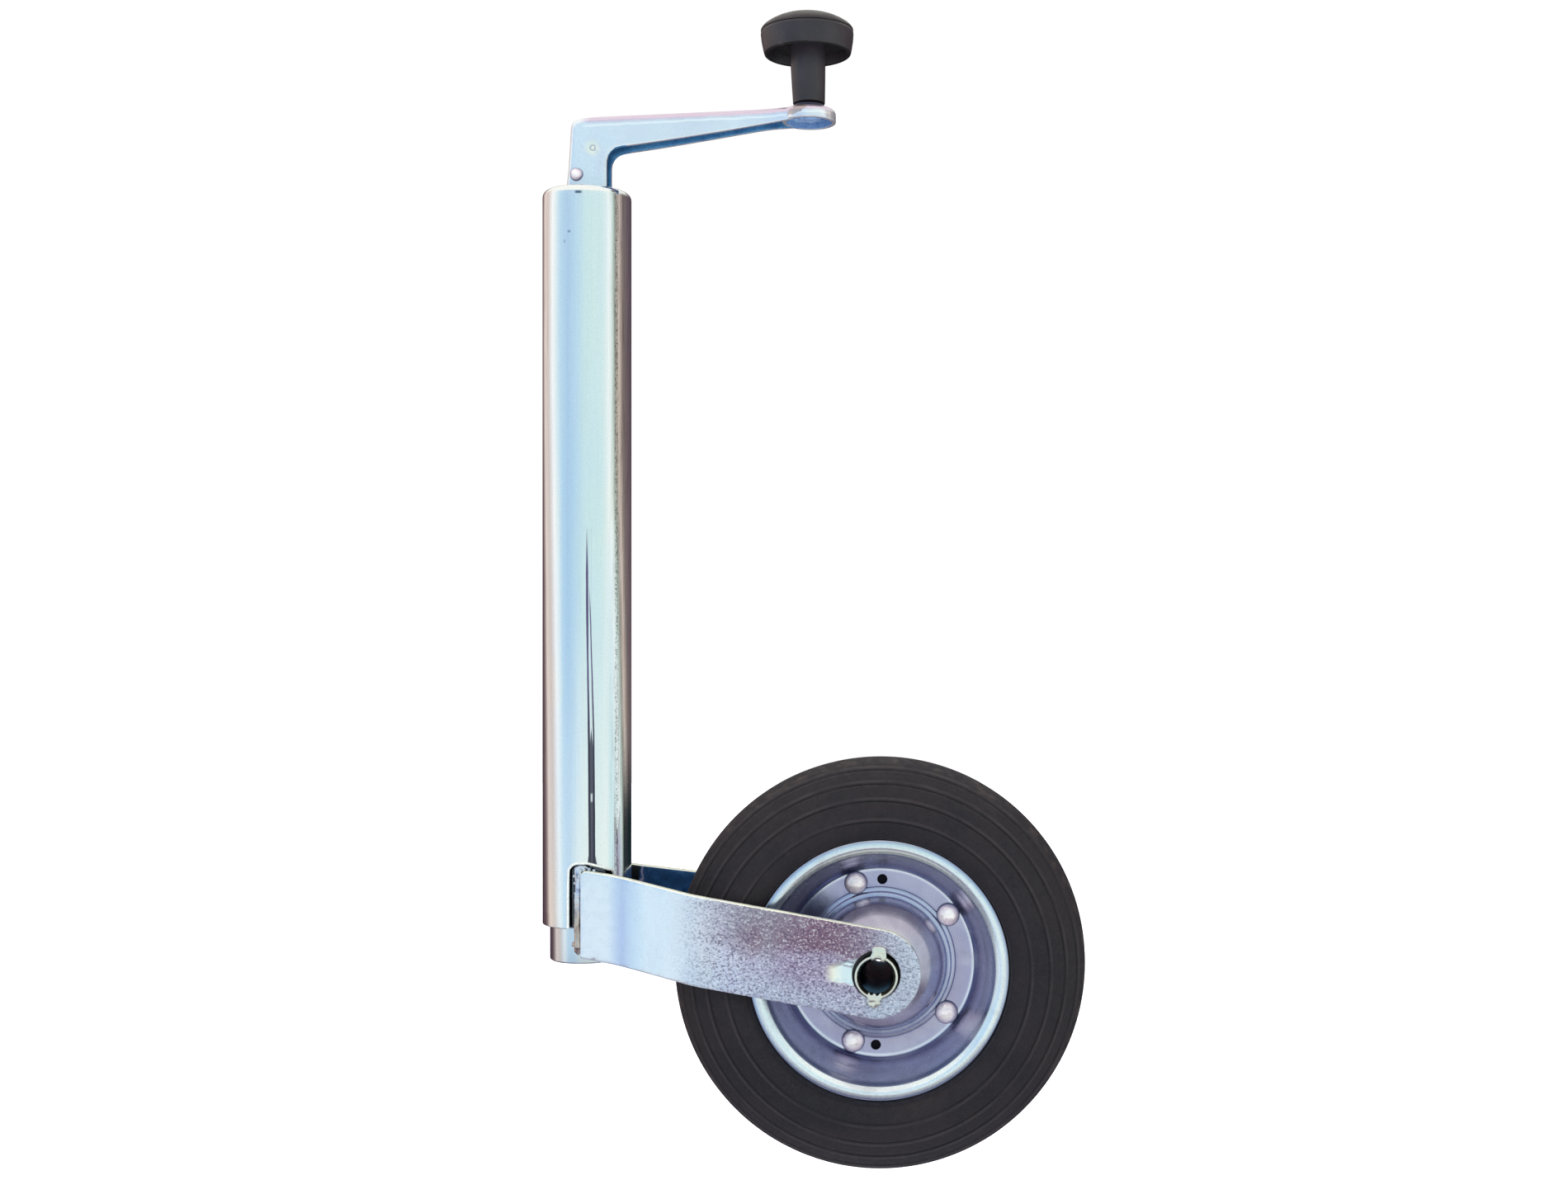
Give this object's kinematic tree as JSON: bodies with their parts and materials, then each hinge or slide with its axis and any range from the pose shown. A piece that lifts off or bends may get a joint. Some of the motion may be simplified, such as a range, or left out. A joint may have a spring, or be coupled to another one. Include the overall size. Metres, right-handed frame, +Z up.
{
  "type": "trailer jockey wheel",
  "caption": "Screw-raised trailer tongue jack: round clamp tube, offset fork, solid rubber wheel on a pressed steel rim, and a cranked handle with a turning knob.",
  "frame": {"origin": "on the axis of the outer tube, at half the tube's length, where the drawbar clamp grips it", "axes": "+Z up along the tube towards the crank, +X from the tube towards the wheel, -Y the near side"},
  "size_m": [0.2974, 0.086, 0.6323],
  "materials": {
    "zinc_plate": "bright blue-clear zinc plating, satin to gloss",
    "zinc_dull": "zinc plated, matt and rough",
    "plain_steel": "turned steel, greased",
    "tyre_rubber": "matt moulded solid rubber",
    "black_plastic": "satin moulded plastic",
    "nylon": "natural nylon"
  },
  "bodies": {
    "outer_tube": {"outer_tube": "zinc_plate", "end_plate": "plain_steel", "thrust_race_upper": "plain_steel"},
    "crank": {"spindle": "plain_steel", "crank_arm": "zinc_plate", "crank_rivet": "zinc_plate", "knob_pin": "zinc_plate", "knob_washer": "black_plastic", "thrust_ball_cage": "plain_steel", "thrust_race_lower": "plain_steel", "spindle_stop_washer": "plain_steel", "spindle_stop_pin": "plain_steel"},
    "knob": {"knob_body": "black_plastic", "knob_cap": "black_plastic"},
    "carriage": {"guide_ring": "nylon"},
    "fork": {"spindle_nut": "plain_steel", "inner_tube": "zinc_plate", "fork_leg_near": "zinc_plate", "fork_leg_far": "zinc_plate", "weld_near": "zinc_dull", "weld_far": "zinc_dull", "axle_tube": "zinc_plate", "spacer_washer_near": "zinc_dull", "spacer_washer_far": "zinc_dull"},
    "wheel": {"hub_tube": "zinc_dull", "hub_bush_near": "black_plastic", "hub_bush_far": "black_plastic", "rim_half_near": "zinc_plate", "rim_half_far": "zinc_plate", "rim_rivet_1": "zinc_plate", "rim_rivet_2": "zinc_plate", "rim_rivet_3": "zinc_plate", "rim_rivet_4": "zinc_plate", "rim_rivet_5": "zinc_plate", "tyre": "tyre_rubber"}
  },
  "joints": [
    {"name": "crank_turn", "type": "hinge", "parent": "outer_tube", "child": "crank", "pos_m": [0, 0, 0.2], "axis": [0, 0, -1], "range_deg": [0, 12600]},
    {"name": "tube_slide", "type": "slide", "parent": "outer_tube", "child": "carriage", "axis": [0, 0, -1], "range_m": [0, 0.21]},
    {"name": "fork_swivel", "type": "hinge", "parent": "carriage", "child": "fork", "pos_m": [0, 0, -0.19], "axis": [0, 0, 1], "range_deg": [-3, 3]},
    {"name": "wheel_spin", "type": "hinge", "parent": "fork", "child": "wheel", "pos_m": [0.1609, 0, -0.2218], "axis": [0, 1, 0], "continuous": true},
    {"name": "knob_spin", "type": "hinge", "parent": "crank", "child": "knob", "pos_m": [0.1218, 0, 0.27], "axis": [0, 0, 1], "continuous": true}
  ],
  "couplings": [
    {"joint": "tube_slide", "follows": "crank_turn", "m_per_rad": 0.00095493}
  ]
}
